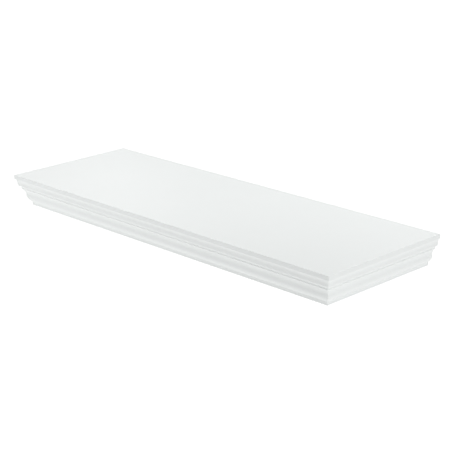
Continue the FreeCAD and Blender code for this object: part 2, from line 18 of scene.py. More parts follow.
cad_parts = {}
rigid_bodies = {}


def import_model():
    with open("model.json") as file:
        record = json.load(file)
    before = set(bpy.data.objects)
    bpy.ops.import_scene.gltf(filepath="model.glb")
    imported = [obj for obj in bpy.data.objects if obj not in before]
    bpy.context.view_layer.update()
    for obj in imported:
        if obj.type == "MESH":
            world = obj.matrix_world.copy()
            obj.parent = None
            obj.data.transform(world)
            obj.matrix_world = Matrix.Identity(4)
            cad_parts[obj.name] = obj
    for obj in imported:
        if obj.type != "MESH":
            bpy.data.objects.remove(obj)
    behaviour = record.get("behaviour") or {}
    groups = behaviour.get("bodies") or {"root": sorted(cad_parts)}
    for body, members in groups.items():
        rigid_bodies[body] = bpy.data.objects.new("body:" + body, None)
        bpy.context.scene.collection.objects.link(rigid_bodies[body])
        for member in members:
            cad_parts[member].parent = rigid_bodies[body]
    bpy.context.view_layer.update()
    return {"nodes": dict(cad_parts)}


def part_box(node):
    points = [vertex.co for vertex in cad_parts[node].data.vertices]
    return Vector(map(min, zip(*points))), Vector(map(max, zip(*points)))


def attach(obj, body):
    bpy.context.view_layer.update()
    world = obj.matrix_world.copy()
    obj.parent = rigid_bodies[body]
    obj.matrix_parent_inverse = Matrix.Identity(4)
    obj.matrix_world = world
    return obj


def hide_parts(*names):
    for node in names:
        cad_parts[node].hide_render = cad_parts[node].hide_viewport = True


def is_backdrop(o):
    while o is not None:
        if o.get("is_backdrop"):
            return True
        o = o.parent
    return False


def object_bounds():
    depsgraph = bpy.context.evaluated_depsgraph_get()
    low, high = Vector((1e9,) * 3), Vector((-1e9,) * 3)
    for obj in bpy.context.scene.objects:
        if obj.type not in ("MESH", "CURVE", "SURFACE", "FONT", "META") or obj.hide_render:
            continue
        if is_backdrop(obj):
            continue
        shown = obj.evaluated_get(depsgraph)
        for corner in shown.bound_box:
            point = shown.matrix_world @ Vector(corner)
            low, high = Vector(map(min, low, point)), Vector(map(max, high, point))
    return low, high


for left_over in list(bpy.data.objects):
    bpy.data.objects.remove(left_over, do_unlink=True)

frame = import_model()
solids = frame["nodes"]

MM = 0.001


# %% Put an object in the scene
def add_object(name, data):
    added = bpy.data.objects.new(name, data)
    bpy.context.scene.collection.objects.link(added)
    return added


# %% [markdown]
# ## Camera
#
# A long lens keeps the shelf's edges nearly parallel, as a catalogue picture does. The camera is
# placed by two angles round a point in the middle of the top, so that each number means one thing:
# where it stands, how far off, how it leans, and how far the shelf sits from the picture's middle.

# %% Place the camera
PICTURE_SIDE = 454  # pixels
FOCAL_LENGTH = 1318.03  # pixels
SENSOR = 36.0  # millimetres, as the lens is
NEAREST, FARTHEST = 0.05, 200  # metres from the camera
LOOK_AT = Vector((0, -152.5 * MM, 36.5 * MM))


def place_camera(azimuth, elevation, lean, distance, aside, raised):
    """Azimuth 0 looks straight at the wall, and 90 looks at the shelf's right end."""
    around, above, lean = (math.radians(angle) for angle in (azimuth, elevation, lean))
    flat = math.cos(above)
    back = Vector((math.sin(around) * flat, -math.cos(around) * flat, math.sin(above)))
    level = Vector((math.cos(around), math.sin(around), 0))
    upright = back.cross(level)
    right = math.cos(lean) * level + math.sin(lean) * upright
    up = back.cross(right)

    data = bpy.data.cameras.new("camera")
    data.sensor_width = SENSOR
    data.lens = FOCAL_LENGTH * SENSOR / PICTURE_SIDE
    data.clip_start, data.clip_end = NEAREST, FARTHEST
    camera = add_object("camera", data)
    place = LOOK_AT + back * distance + level * aside + upright * raised
    turn = Matrix((right, up, back)).transposed().to_4x4()
    camera.matrix_world = Matrix.Translation(place) @ turn
    bpy.context.scene.camera = camera
    return camera


camera = place_camera(
    azimuth=46.663, elevation=18.328, lean=-1.224, distance=2.6308, aside=0.03378, raised=-0.05077
)
print("lens:", round(camera.data.lens, 1), "mm")

# %% [markdown]
# ## Shader sums as Python sums
#
# A finish is mostly small sums: how far a point is from an edge, how much fleck there is, how the
# two mix. Wiring those by hand hides the idea, so one small class wraps a socket, and its operators
# add the Math nodes. One more method adds any other node, with its settings first. The same class
# works in geometry node trees, which share these nodes.


# %% A socket that does sums
class Wire:
    """A socket of a node tree. Used in a sum, it adds the Math nodes for that sum."""

    def __init__(self, tree, socket=None):
        self.tree, self.socket = tree, socket

    def node(self, kind, settings=None, sockets=None, out=0):
        """Adds a node of any kind and gives back one output, by place, name or identifier."""
        made = self.tree.nodes.new(kind)
        for name, setting in (settings or {}).items():
            setattr(made, name, setting)
        for name, content in (sockets or {}).items():
            socket = find_socket(made.inputs, name)
            if isinstance(content, Wire):
                self.tree.links.new(content.socket, socket)
            else:
                socket.default_value = content
        return Wire(self.tree, find_socket(made.outputs, out))

    def math(self, operation, *terms):
        return self.node("ShaderNodeMath", {"operation": operation}, dict(enumerate(terms)))

    def __add__(self, other):
        return self.math("ADD", self, other)

    def __radd__(self, other):
        return self.math("ADD", other, self)

    def __sub__(self, other):
        return self.math("SUBTRACT", self, other)

    def __rsub__(self, other):
        return self.math("SUBTRACT", other, self)

    def __mul__(self, other):
        return self.math("MULTIPLY", self, other)

    def __rmul__(self, other):
        return self.math("MULTIPLY", other, self)

    def __truediv__(self, other):
        return self.math("DIVIDE", self, other)

    def __rtruediv__(self, other):
        return self.math("DIVIDE", other, self)

    def __pow__(self, other):
        return self.math("POWER", self, other)

    def __abs__(self):
        return self.math("ABSOLUTE", self)

    def least(self, other):
        return self.math("MINIMUM", self, other)

    def most(self, other):
        return self.math("MAXIMUM", self, other)

    def rise(self, start, stop):
        """0 below start, 1 above stop, and a smooth rise between them."""
        ends = {"Value": self, "From Min": start, "From Max": stop}
        settings = {"interpolation_type": "SMOOTHSTEP"}
        return self.node("ShaderNodeMapRange", settings, ends, "Result")

    def span(self, low, high):
        """Stretches 0 to 1 over low to high."""
        ends = {"Value": self, "To Min": low, "To Max": high}
        return self.node("ShaderNodeMapRange", {}, ends, "Result")

    def parts(self):
        """The X, Y and Z of a vector."""
        first = self.node("ShaderNodeSeparateXYZ", {}, {"Vector": self}, "X")
        outputs = first.socket.node.outputs
        return [Wire(self.tree, outputs[axis]) for axis in "XYZ"]


def find_socket(sockets, name):
    """By place, by identifier or by name. A Mix node's sockets share names, so names come last."""
    if isinstance(name, int):
        return sockets[name]
    for socket in sockets:
        if socket.identifier == name:
            return socket
    return next(socket for socket in sockets if socket.name == name and socket.enabled)


# %% [markdown]
# ## How a finish is made
#
# Every finish here is one Principled shader. Its plain numbers are set on the shader itself, and
# only what changes over the surface is wired: colour, roughness and a Bump node for relief. All
# patterns read Object coordinates in metres, so a speck that is half a millimetre wide on the real
# board is half a millimetre wide here, and stays where it is when the shelf slides.


# %% Make a finish from a painter function
def make_finish(name, painter, **constants):
    """painter gets a point's place and gives back what varies: colour, roughness, height, glow."""
    material = bpy.data.materials.new(name)
    material.use_nodes = True
    tree = material.node_tree
    tree.nodes.clear()
    desk = Wire(tree)
    varied = painter(desk.node("ShaderNodeTexCoord", {}, {}, "Object"))
    sockets = {"Base Color": varied["colour"], "Roughness": varied["roughness"]}
    if "glow" in varied:
        sockets["Emission Color"] = varied["glow"]
    if "height" in varied:
        bump = {"Height": varied["height"], "Distance": 1 * MM, "Strength": 1.0}
        sockets["Normal"] = desk.node("ShaderNodeBump", {}, bump, "Normal")
    sockets.update({socket.replace("_", " "): number for socket, number in constants.items()})
    shader = desk.node("ShaderNodeBsdfPrincipled", {}, sockets, "BSDF")
    tree.links.new(shader.socket, tree.nodes.new("ShaderNodeOutputMaterial").inputs["Surface"])
    print(f"finish {name}: {len(tree.nodes)} nodes")
    return material


def mix(factor, first, second):
    """One colour turning into another as factor goes from 0 to 1."""
    colours = {
        name: colour if isinstance(colour, Wire) else (*colour, 1)
        for name, colour in (("A_Color", first), ("B_Color", second))
    }
    sockets = {"Factor_Float": factor, **colours}
    return factor.node("ShaderNodeMix", {"data_type": "RGBA"}, sockets, "Result_Color")


def noise(place, size, detail=2.0, roughness=0.5):
    """Soft noise whose lumps are about size metres across."""
    sockets = {"Vector": place, "Scale": 1 / size, "Detail": detail, "Roughness": roughness}
    return place.node("ShaderNodeTexNoise", {}, sockets, "Fac")


def stretched(place, along, across, direction, turn=0.0):
    """Noise drawn out along one direction, as grain and brush marks are."""
    scale = [1 / along if axis == direction else 1 / across for axis in "XYZ"]
    sockets = {"Vector": place, "Rotation": (0, 0, turn), "Scale": scale}
    drawn = place.node("ShaderNodeMapping", {}, sockets, "Vector")
    return noise(drawn, 1.0, detail=3)


# %% [markdown]
# ## Bare fibreboard
#
# The rails, ribs and glue blocks are bare medium-density fibreboard: pressed wood fibre, evenly
# tan, with fine specks about half a millimetre across and a faint cloud where it was denser. It
# also shows wherever the lacquer or foil stops, so it is written once and used by those finishes.

# %% Bare fibreboard
BOARD_LIGHT = (0.52, 0.385, 0.25)
BOARD_DARK = (0.34, 0.235, 0.145)
BURNISHED = (0.16, 0.095, 0.05)
ROD_PITCH = 180 * MM
BORE_RADIUS = 6.25 * MM
BURNISHED_WIDTH = 0.8 * MM
BURNISHED_SHARE = 0.55


def bare_board(place):
    """Colour, roughness and height of bare board."""
    specks = noise(place, 0.5 * MM, detail=4, roughness=0.65)
    fibres = noise(place, 1.9 * MM, detail=3)
    cloud = noise(place, 38 * MM, detail=1)
    tone = 0.5 * specks.rise(0.35, 0.68) + 0.3 * fibres + 0.2 * cloud
    return {
        "colour": mix(tone, BOARD_DARK, BOARD_LIGHT),
        "roughness": specks.span(0.78, 0.95),
        "height": specks * 0.06 + fibres * 0.04,
    }


def from_axis(first, second):
    """How far a point is from an axis, given its two distances across the axis."""
    return (first * first + second * second) ** 0.5


def board_with_bores(place):
    """Bare board with the burnished rings that a drill leaves round the rod bores."""
    board = bare_board(place)
    x, _, z = place.parts()
    aside = place.math("WRAP", x, ROD_PITCH, 0) - ROD_PITCH / 2
    ring = 1 - from_axis(aside, z).rise(BORE_RADIUS, BORE_RADIUS + BURNISHED_WIDTH)
    board["colour"] = mix(ring * BURNISHED_SHARE, board["colour"], BURNISHED)
    return board


fibreboard = make_finish("bare_fibreboard", bare_board)
rail_board = make_finish("bored_fibreboard", board_with_bores)

# %% [markdown]
# ## White lacquer
#
# The top and the mouldings are sprayed with a satin white lacquer. Up close it isn't perfectly
# flat: it dries with an orange-peel texture some three millimetres across and a few hundredths of
# a millimetre deep, and its sheen drifts a little from place to place. The spray stops at the
# shelf's hidden sides, so the board shows inside and on the faces that meet the wall, with a thin
# veil of overspray near the edge. A mask from distances decides between the two.

# %% White lacquer
LACQUER = (0.835, 0.857, 0.849)
LACQUER_DRIFT = (0.818, 0.841, 0.833)
HALF_LENGTH = 457 * MM
DEPTH = 305 * MM
HIDDEN_INSET = 31.8 * MM  # just short of the foot's inner face
UNDER_TOP = 27.56 * MM  # just above the top panel's lower face
WALL_SKIN = 0.05 * MM  # what lies this close to the wall is a wall face
SKIN_EDGE = 0.1 * MM
SPRAY_EDGE = 0.3 * MM
WALL_BARE = 0.94  # how bare a wall face is
VEIL_SHARE = 0.75  # how much of the board the overspray hides
VEIL_START, VEIL_FADE = 0.1, 0.02  # the overspray's amount at the edge, and its loss for each mm


def from_edge(x, y):
    """How far inside the shelf's outline a point is, seen from above."""
    return (HALF_LENGTH - abs(x)).least(y + DEPTH)


def at_wall(y):
    """1 on the faces that meet the wall, and 0 elsewhere."""
    return y.rise(-2 * WALL_SKIN, -WALL_SKIN)


def veil(place, amount):
    """Patchy overspray: more where amount is high."""
    return (noise(place, 5 * MM, detail=4) + amount - 0.5).rise(0.42, 0.62)


def coat_over(board, bare, coat):
    """The coat where bare is 0, and the board under it where bare is 1."""
    return {
        "colour": mix(bare, coat["colour"], board["colour"]),
        "roughness": coat["roughness"] * (1 - bare) + board["roughness"] * bare,
        "height": coat["height"] * (1 - bare) + board["height"] * bare,
    }


def lacquered(place):
    x, y, z = place.parts()
    inset = from_edge(x, y)
    below_top = 1 - z.rise(UNDER_TOP, UNDER_TOP + SKIN_EDGE)
    inside = inset.rise(HIDDEN_INSET, HIDDEN_INSET + SPRAY_EDGE) * below_top
    overspray = veil(place, VEIL_START - VEIL_FADE * inset / MM)
    bare = inside.most(at_wall(y) * WALL_BARE) * (1 - VEIL_SHARE * overspray)

    peel = noise(place, 3.2 * MM, detail=1)
    drift = noise(place, 90 * MM, detail=2)
    grain = noise(place, 0.9 * MM, detail=1)
    lacquer = {
        "colour": mix(drift, LACQUER, LACQUER_DRIFT),
        "roughness": drift.span(0.34, 0.44),
        "height": peel * 0.018 + grain * 0.004,
    }
    return coat_over(bare_board(place), bare, lacquer)


white_lacquer = make_finish("white_lacquer", lacquered, IOR=1.5)

# %% [markdown]
# ## Foil on the bottom panel
#
# The bottom is a thin hard board with a white paper foil, a touch greyer and flatter than the
# lacquer, with a fine pressed grain. The foil is only on the face that looks down. The board shows
# brown inside the two key holes, on the inner face and along the wall.

# %% White foil
FOIL = (0.83, 0.845, 0.838)
FOIL_PORE = (0.76, 0.775, 0.77)
PANEL_INSIDE = -27.56 * MM  # just below the bottom panel's upper face
KEY_HOLE_X, KEY_HOLE_Y = 270, -55  # millimetres, on both sides of the middle
KEY_HOLE_RADIUS = 4 * MM
TORN_START, TORN_STOP = 0.02 * MM, 0.25 * MM  # round a key hole, where drilling tears the foil


def from_key_hole(x, y):
    """How far a point is from the upright axis of the nearer key hole."""
    return from_axis(abs(x) - KEY_HOLE_X * MM, y - KEY_HOLE_Y * MM)


def foiled(place):
    x, y, z = place.parts()
    covered = from_key_hole(x, y).rise(KEY_HOLE_RADIUS + TORN_START, KEY_HOLE_RADIUS + TORN_STOP)
    above = z.rise(PANEL_INSIDE - SKIN_EDGE, PANEL_INSIDE)
    bare = (1 - covered).most(above).most(at_wall(y))

    pores = stretched(place, 14 * MM, 0.7 * MM, "X")
    dust = noise(place, 0.4 * MM, detail=2)
    foil = {
        "colour": mix(pores.rise(0.55, 0.75) * 0.25, FOIL, FOIL_PORE),
        "roughness": dust.span(0.48, 0.6),
        "height": pores * 0.02 + dust * 0.008,
    }
    return coat_over(bare_board(place), bare, foil)


white_foil = make_finish("white_foil", foiled, IOR=1.46)

# %% [markdown]
# ## Beech
#
# The dowels, biscuits and lock blocks are beech: pinkish tan, a quiet grain along the piece, and
# short dark flecks a couple of millimetres long. The grain's direction differs from piece to piece,
# so one painter takes the direction, and each direction gets its own finish.

# %% Beech, for each direction of its grain
BEECH_LIGHT = (0.62, 0.42, 0.265)
BEECH_DARK = (0.45, 0.28, 0.165)
BEECH_FLECK = (0.27, 0.145, 0.08)
BISCUIT_TURN = math.radians(45)


def beech_painter(direction, turn=0.0):
    def paint(place):
        grain = stretched(place, 40 * MM, 1.3 * MM, direction, turn)
        pores = stretched(place, 5 * MM, 0.16 * MM, direction, turn)
        flecks = stretched(place, 2.2 * MM, 0.42 * MM, direction, turn).rise(0.6, 0.68)
        wood = mix(grain.rise(0.3, 0.7), BEECH_LIGHT, BEECH_DARK)
        wood = mix(pores.rise(0.5, 0.8) * 0.35, wood, BEECH_FLECK)
        return {
            "colour": mix(flecks * 0.6, wood, BEECH_FLECK),
            "roughness": pores.span(0.5, 0.68),
            "height": pores * 0.03 - flecks * 0.01,
        }

    return paint


beech = {
    "along_x": make_finish("beech_along_x", beech_painter("X")),
    "along_y": make_finish("beech_along_y", beech_painter("Y")),
    "upright": make_finish("beech_upright", beech_painter("Z")),
    "slanting": make_finish("beech_slanting", beech_painter("X", BISCUIT_TURN)),
}

# %% [markdown]
# ## Metals
#
# The plate is rolled steel and the rods are drawn steel, both zinc plated after welding: a pale,
# slightly blue grey with lines along the piece and a soft cloud in its shine. The welds under the
# zinc are duller. The inserts are turned brass, and the lock screws are black oxide, which rubs
# off on the thread's crests and leaves bright steel.

# %% Zinc-plated steel
ZINC = (0.56, 0.585, 0.61)
ZINC_WARM = (0.60, 0.59, 0.545)
ZINC_DARK = (0.39, 0.405, 0.42)


def zinc_painter(direction):
    def paint(place):
        lines = stretched(place, 60 * MM, 0.3 * MM, direction)
        cloud = noise(place, 11 * MM, detail=4, roughness=0.6)
        tint = noise(place, 55 * MM, detail=1)
        pits = noise(place, 0.7 * MM, detail=2)
        zinc = mix(tint.rise(0.4, 0.7) * 0.5, ZINC, ZINC_WARM)
        clouded = mix(cloud.rise(0.42, 0.72) * 0.4, zinc, ZINC_DARK)
        marks = lines.rise(0.42, 0.7) * 0.4 + pits.rise(0.62, 0.72) * 0.25
        return {
            "colour": mix(marks, clouded, ZINC_DARK),
            "roughness": (cloud * 0.5 + lines * 0.3).span(0.24, 0.6),
            "height": lines * 0.012 + pits * 0.006,
        }

    return paint


plate_zinc = make_finish("zinc_plated_plate", zinc_painter("X"), Metallic=1.0)
rod_zinc = make_finish("zinc_plated_rod", zinc_painter("Y"), Metallic=1.0)

# %% Weld metal, brass and black oxide
WELD = (0.47, 0.48, 0.49)
WELD_SOOT = (0.3, 0.295, 0.28)
BRASS = (0.80, 0.58, 0.27)
BRASS_TARNISH = (0.50, 0.33, 0.14)
BLACK_OXIDE = (0.034, 0.033, 0.034)
RUBBED_STEEL = (0.42, 0.41, 0.40)
SCREW_RADIUS = 3.0  # millimetres
CREST_START, CREST_FULL = 0.16 * MM, 0.03 * MM  # how deep under the crests the oxide wears


def weld_painter(place):
    skin = noise(place, 0.5 * MM, detail=4)
    soot = noise(place, 4 * MM, detail=2)
    colour = mix(soot.rise(0.4, 0.7), WELD, WELD_SOOT)
    return {"colour": colour, "roughness": skin.span(0.34, 0.58), "height": skin * 0.03}


def brass_painter(place):
    rings = stretched(place, 40 * MM, 0.12 * MM, "X")
    tarnish = noise(place, 3 * MM, detail=3)
    colour = mix(tarnish.rise(0.4, 0.75) * 0.6, BRASS, BRASS_TARNISH)
    return {"colour": colour, "roughness": tarnish.span(0.24, 0.42), "height": rings * 0.008}


def black_oxide_painter(place):
    x, y, _ = place.parts()
    outside = SCREW_RADIUS * MM
    crest = from_key_hole(x, y).rise(outside - CREST_START, outside - CREST_FULL)
    rub = noise(place, 0.8 * MM, detail=3)
    colour = mix(crest * rub.rise(0.42, 0.6), BLACK_OXIDE, RUBBED_STEEL)
    return {"colour": colour, "roughness": rub.span(0.3, 0.5), "height": rub * 0.01}


weld_metal = make_finish("weld_metal", weld_painter, Metallic=1.0)
brass = make_finish("brass", brass_painter, Metallic=1.0)
black_oxide = make_finish("black_oxide", black_oxide_painter, Metallic=0.85)

# %% [markdown]
# ## Running a geometry node tree
#
# A crown moulding is one section drawn along a line. Dowels and weld beads are one shape set down
# several times. Geometry Nodes say exactly that, with the sizes as named inputs. Each tree is built
# here in code and run once on a small starting mesh, and its result is kept as a plain mesh, so
# nothing stays live. The numbers go in by each input's identifier, before the first run.

# %% Run a tree and keep its mesh
KINDS = {
    float: "NodeSocketFloat",
    int: "NodeSocketInt",
    Vector: "NodeSocketVector",
    bpy.types.Object: "NodeSocketObject",
    bpy.types.Material: "NodeSocketMaterial",
}


def run_tree(name, build, start, finish, sizes):
    """Builds the tree, runs it on the points of start and gives back an object that is plain."""
    settings = {**sizes, "Finish": finish}
    tree = bpy.data.node_groups.new(f"{name}_tree", "GeometryNodeTree")
    geometry = {"socket_type": "NodeSocketGeometry"}
    tree.interface.new_socket("Start", in_out="INPUT", **geometry)
    for label, setting in settings.items():
        kind = next(KINDS[each] for each in KINDS if isinstance(setting, each))
        tree.interface.new_socket(label, in_out="INPUT", socket_type=kind)
    tree.interface.new_socket("Result", in_out="OUTPUT", **geometry)

    entry = tree.nodes.new("NodeGroupInput")
    inputs = {socket.name: Wire(tree, socket) for socket in entry.outputs if socket.name}
    shape = build(inputs)
    real = shape.node("GeometryNodeRealizeInstances", {}, {"Geometry": shape})
    finished = {"Geometry": real, "Material": inputs["Finish"]}
    done = real.node("GeometryNodeSetMaterial", {}, finished)
    tree.links.new(done.socket, tree.nodes.new("NodeGroupOutput").inputs[0])

    mesh = bpy.data.meshes.new(f"{name}_start")
    mesh.from_pydata([tuple(point) for point in start], [], [])
    piece = add_object(name, mesh)
    modifier = piece.modifiers.new("grow", "NODES")
    modifier.node_group = tree
    for item in tree.interface.items_tree:
        if item.in_out == "INPUT" and item.name in settings:
            modifier[item.identifier] = settings[item.name]

    bpy.context.view_layer.update()
    evaluated = piece.evaluated_get(bpy.context.evaluated_depsgraph_get())
    result = bpy.data.meshes.new_from_object(evaluated)
    piece.modifiers.clear()
    piece.data = result
    return tidy_mesh(piece)


# %% Clean a mesh and measure it
SAME_POINT = 0.001 * MM


def tidy_mesh(piece, sharp=35.0):
    """Closes the seams, turns the faces outwards, smooths the round parts and reports."""
    shape = bmesh.new()
    shape.from_mesh(piece.data)
    bmesh.ops.remove_doubles(shape, verts=shape.verts, dist=SAME_POINT)
    bmesh.ops.recalc_face_normals(shape, faces=shape.faces)
    open_edges = sum(len(edge.link_faces) != 2 for edge in shape.edges)
    volume = shape.calc_volume(signed=True) / MM**3
    for face in shape.faces:
        face.smooth = True
    shape.to_mesh(piece.data)
    shape.free()
    piece.data.set_sharp_from_angle(angle=math.radians(sharp))
    faces = len(piece.data.polygons)
    print(f"{piece.name}: {faces} faces, {open_edges} open edges, {volume:.1f} mm3")
    return piece


# %% Draw a closed outline
def closed_curve(name, points):
    """An outline that a tree can follow, with its points in metres."""
    curve = bpy.data.curves.new(name, "CURVE")
    curve.dimensions = "3D"
    spline = curve.splines.new("POLY")
    spline.points.add(len(points) - 1)
    for spot, (across, up) in zip(spline.points, points):
        spot.co = (across, up, 0, 1)
    spline.use_cyclic_u = True
    return add_object(name, curve)


# %% [markdown]
# ## The section of the crown moulding
#
# From the top down it has a shallow cove, a flat band, a quarter round, a sunk flat, a fine bead, a
# deeper cove, a swelling belly that turns back into a small cove, and a foot, with a rebate inside
# for the bottom panel. It is drawn as a closed outline: how far in from the shelf's edge, and how
# far below the top. Five of its runs are arcs, each upright at one end, so its step and height give
# its radius. A cutter's crisp corners are rounded by a few tenths of a millimetre, since lacquer
# never leaves a knife edge, and that is what catches the light.

# %% The section's sizes, in millimetres
SECTION = [  # inset, drop, and 1 where the run to the next corner swells or -1 where it is hollow
    (1.0, 9.0, -1),
    (4.7, 19.2, 0),
    (4.7, 21.2, 1),
    (9.8, 26.3, 0),
    (10.6, 26.3, 0),
    (10.6, 29.7, 0),
    (10.1, 29.7, 0),
    (10.1, 30.9, 0),
    (10.8, 30.9, 0),
    (10.8, 31.4, -1),
    (17.0, 44.6, 0),
    (17.0, 45.8, 1),
    (24.8, 60.0, -1),
    (25.8, 61.6, 0),
    (25.8, 68.0, 0),
    (32.0, 68.0, 0),
    (32.0, 64.0, 0),
    (38.0, 64.0, 0),
    (38.0, 9.0, 0),
]
LACQUER_ROUND = 0.3
OWN_ROUNDS = {6: 0.2, 7: 0.2, 14: 0.6}  # by corner: the bead's two and the foot's
LONGEST_ROUND = 0.4  # as a share of the run beside it
ROUND_STEPS = (0, 0.25, 0.5, 0.75, 1)
LEAST_TURN = math.radians(12)  # a corner that turns less stays as it is
ARC_STEP = 0.5
ARC_CLEARANCE = 0.05  # from a round to the next point of an arc
print(len(SECTION), "corners and", sum(bulge != 0 for _, _, bulge in SECTION), "arcs")


# %% Draw the section
def arc_points(start, stop, bulge):
    """Points between two corners on an arc that is upright at one of them. bulge is 1 or -1."""
    chord = stop - start
    radius = chord.length_squared / (2 * abs(chord.x))
    outwards = Vector((-chord.y, chord.x)).normalized() * bulge
    centre_depth = math.sqrt(max(radius**2 - chord.length_squared / 4, 0))
    centre = (start + stop) / 2 - outwards * centre_depth
    first = math.atan2(*(start - centre).yx)
    sweep = (math.atan2(*(stop - centre).yx) - first + math.pi) % math.tau - math.pi
    steps = max(2, round(abs(sweep * radius) / ARC_STEP))
    angles = [first + sweep * step / steps for step in range(1, steps)]
    return [centre + Vector((math.cos(angle), math.sin(angle))) * radius for angle in angles]


def walk(points, length):
    """The point that far along a line of points."""
    for here, there in zip(points, points[1:]):
        run = (there - here).length
        if length <= run:
            return here.lerp(there, length / run)
        length -= run
    return points[-1]


def round_corner(corner, before, after, reach):
    """A soft curve across a corner, from reach before it to reach after it."""
    a, b = walk(before, reach), walk(after, reach)
    return [a.lerp(corner, t).lerp(corner.lerp(b, t), t) for t in ROUND_STEPS]


def draw_section():
    """The whole outline, with arcs sampled and corners rounded."""
    corners = [Vector(corner[:2]) for corner in SECTION]
    next_corners = corners[1:] + corners[:1]
    runs = []
    for start, stop, (_, _, bulge) in zip(corners, next_corners, SECTION):
        runs.append([start, *(arc_points(start, stop, bulge) if bulge else []), stop])
    lengths = [sum((b - a).length for a, b in zip(run, run[1:])) for run in runs]

    outline = []
    for index, (corner, next_corner) in enumerate(zip(corners, next_corners)):
        before, after = runs[index - 1][::-1], runs[index]
        if (before[0] - before[1]).angle(after[1] - after[0]) > LEAST_TURN:
            shorter = min(lengths[index - 1], lengths[index])
            reach = min(OWN_ROUNDS.get(index, LACQUER_ROUND), LONGEST_ROUND * shorter)
            outline += round_corner(corner, before, after, reach)
        else:
            reach = 0
            outline.append(corner)
        for point in after[1:-1]:
            clear = (point - corner).length > reach + ARC_CLEARANCE
            if clear and (point - next_corner).length > LACQUER_ROUND + ARC_CLEARANCE:
                outline.append(point)
    return outline


section = draw_section()
print(len(section), "points in the section")

# %% [markdown]
# ## The mouldings
#
# Each length is the section drawn along a straight line with Curve to Mesh. A mitre needs no saw:
# at 45 degrees every point of the end moves along the run by exactly its own inset, so one Set
# Position makes it. The front has a mitre at both ends. Each end piece has one at the front and a
# square cut at the wall. These three replace the plain solids, whose arcs are coarser and whose
# corners are sharp.


# %% Draw the mouldings
def moulding_tree(inputs):
    """A run along X, its ends cut at 45 degrees where a mitre is 1, turned and set in place."""
    length = inputs["Length"]
    half = length * 0.5
    ends = {
        end: length.node("ShaderNodeCombineXYZ", {}, {"X": half * sign})
        for end, sign in (("Start", -1.0), ("End", 1.0))
    }
    line = length.node("GeometryNodeCurvePrimitiveLine", {}, ends, "Curve")
    outline = length.node("GeometryNodeObjectInfo", {}, {"Object": inputs["Section"]}, "Geometry")
    drawn = {"Curve": line, "Profile Curve": outline, "Fill Caps": True}
    run = line.node("GeometryNodeCurveToMesh", {}, drawn, "Mesh")
    x, y, _ = line.node("GeometryNodeInputPosition", {}, {}).parts()
    side = line.math("SIGN", x)
    at_end = side.rise(-0.5, 0.5)
    mitre = inputs["Start mitre"] * (1 - at_end) + inputs["End mitre"] * at_end
    shift = line.node("ShaderNodeCombineXYZ", {}, {"X": 0 - side * mitre * y})
    cut = run.node("GeometryNodeSetPosition", {}, {"Geometry": run, "Offset": shift})
    smooth = cut.node("GeometryNodeSetShadeSmooth", {}, {"Geometry": cut})
    turn = line.node("ShaderNodeCombineXYZ", {}, {"Z": inputs["Turn"]})
    place = {"Geometry": smooth, "Translation": inputs["Place"], "Rotation": turn}
    return smooth.node("GeometryNodeTransform", {}, place)


TOP = 36.5 * MM
QUARTER_TURN = math.pi / 2
RUNS = {  # length, start mitre, end mitre, turn, place of the middle of the shelf's edge
    "front": (2 * HALF_LENGTH, 1.0, 1.0, 0.0, (0, -DEPTH, TOP)),
    "right": (DEPTH, 1.0, 0.0, QUARTER_TURN, (HALF_LENGTH, -DEPTH / 2, TOP)),
    "left": (DEPTH, 0.0, 1.0, -QUARTER_TURN, (-HALF_LENGTH, -DEPTH / 2, TOP)),
}
section_points = [(-point.x * MM, point.y * MM) for point in section]
moulding_outline = closed_curve("moulding_section", section_points)
mouldings = {}
for side, (length, start_mitre, end_mitre, turn, place) in RUNS.items():
    sizes = {
        "Length": length,
        "Start mitre": start_mitre,
        "End mitre": end_mitre,
        "Turn": turn,
        "Place": Vector(place),
        "Section": moulding_outline,
    }
    mouldings[side] = run_tree(f"crown_{side}", moulding_tree, [(0, 0, 0)], white_lacquer, sizes)
bpy.data.objects.remove(moulding_outline, do_unlink=True)

# %% [markdown]
# ## Fluted dowels
#
# A dowel is pressed with fine flutes that let air and glue out of its blind hole, and its ends are
# bevelled so that it finds the hole. One dowel is a cylinder whose points move in or out by their
# angle, and the tree sets a copy on each place in the joints.

# %% Shape a dowel
POINTS_PER_FLUTE = 6
BEVEL_START, BEVEL_STOP = 0.4, 0.45  # from the middle, as shares of the length
ALONG_X = Vector((0, QUARTER_TURN, 0))
ALONG_Y = Vector((QUARTER_TURN, 0, 0))


def dowel_tree(inputs):
    """A fluted dowel on each starting point."""
    radius, length, bevel = inputs["Radius"], inputs["Length"], inputs["Bevel"]
    cylinder = {
        "Vertices": inputs["Flutes"] * POINTS_PER_FLUTE,
        "Side Segments": 3,
        "Radius": radius,
        "Depth": length,
    }
    rough = radius.node("GeometryNodeMeshCylinder", {}, cylinder, "Mesh")
    x, y, z = radius.node("GeometryNodeInputPosition", {}, {}).parts()
    at_end = abs(z).rise(length * BEVEL_START, length * BEVEL_STOP)
    wave = radius.math("COSINE", radius.math("ARCTAN2", y, x) * inputs["Flutes"])
    flute = (0.5 - 0.5 * wave) ** 3 * inputs["Flute depth"] * (1 - at_end)
    fit = 1 - (flute + bevel * at_end) / radius
    height = radius.math("SIGN", z) * (length * 0.5 - bevel * (1 - at_end))
    moved = radius.node("ShaderNodeCombineXYZ", {}, {"X": x * fit, "Y": y * fit, "Z": height})
    dowel = rough.node("GeometryNodeSetPosition", {}, {"Geometry": rough, "Position": moved})
    copies = {"Points": inputs["Start"], "Instance": dowel, "Rotation": inputs["Turn"]}
    return dowel.node("GeometryNodeInstanceOnPoints", {}, copies)


